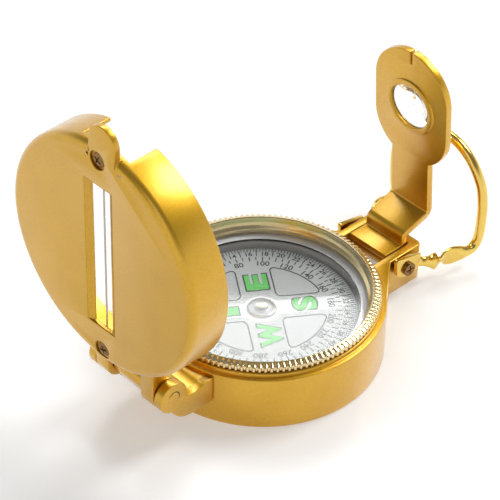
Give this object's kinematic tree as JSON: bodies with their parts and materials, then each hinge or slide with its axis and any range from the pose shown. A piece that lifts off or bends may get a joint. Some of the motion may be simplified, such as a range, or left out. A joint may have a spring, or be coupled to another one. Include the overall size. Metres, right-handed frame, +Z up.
{
  "type": "magnetic compass",
  "caption": "Folding lensatic compass: round case with a turning bezel over a floating dial, a hinged cover with a sighting slot and wire, a folding lens arm and a thumb loop.",
  "frame": {"origin": "centre of the flat underside of the case", "axes": "+Z up along the dial's axis, +Y from the lens arm to the cover hinge, +X to the right"},
  "size_m": [0.056, 0.1057, 0.0856],
  "materials": {
    "cast_gold": "satin metallic gold finish with a fine grain over a light alloy casting",
    "bezel_brass": "polished pale gold",
    "loop_gold": "polished yellow gold",
    "bronze_screw": "dark bronze plating",
    "plain_steel": "bright steel",
    "clear_plastic": "clear polished plastic",
    "card_white": "white card with printed scales",
    "felt": "dark felt",
    "seal_rubber": "dark rubber"
  },
  "bodies": {
    "case": {"case_body": "cast_gold", "capsule_pad": "felt", "capsule_cup": "clear_plastic", "capsule_gasket": "seal_rubber", "capsule_lid": "clear_plastic", "pivot_needle": "plain_steel", "bezel_spring": "plain_steel", "cover_hinge_pin": "cast_gold", "arm_pin": "plain_steel", "arm_washers": "plain_steel", "loop_screws": "bronze_screw", "loop_washers": "bronze_screw"},
    "bezel": {"bezel_ring": "bezel_brass", "crystal": "clear_plastic"},
    "dial": {"dial_card": "card_white", "magnet_bar": "plain_steel", "jewel_cup": "bezel_brass", "hub_dome": "clear_plastic"},
    "cover": {"cover_shell": "cast_gold", "sight_wire": "plain_steel", "wire_anchors": "bezel_brass", "cover_screws": "bronze_screw"},
    "arm": {"lens_arm": "cast_gold", "lens": "clear_plastic", "lens_ring": "bezel_brass"},
    "loop": {"thumb_loop": "loop_gold"}
  },
  "joints": [
    {"name": "cover_hinge", "type": "hinge", "parent": "case", "child": "cover", "pos_m": [0, 0.0372, 0.0143], "axis": [1, 0, 0], "range_deg": [-90, 90]},
    {"name": "lens_arm_hinge", "type": "hinge", "parent": "case", "child": "arm", "pos_m": [0, -0.0376, 0.0069], "axis": [1, 0, 0], "range_deg": [-86.4, 5]},
    {"name": "thumb_loop_swing", "type": "hinge", "parent": "case", "child": "loop", "pos_m": [0, -0.0376, 0.0069], "axis": [1, 0, 0], "range_deg": [-14, 80]},
    {"name": "bezel_turn", "type": "hinge", "parent": "case", "child": "bezel", "pos_m": [0, 0, 0.0151], "axis": [0, 0, 1], "continuous": true},
    {"name": "dial_turn", "type": "hinge", "parent": "case", "child": "dial", "pos_m": [0, 0, 0.01], "axis": [0, 0, 1], "continuous": true}
  ]
}
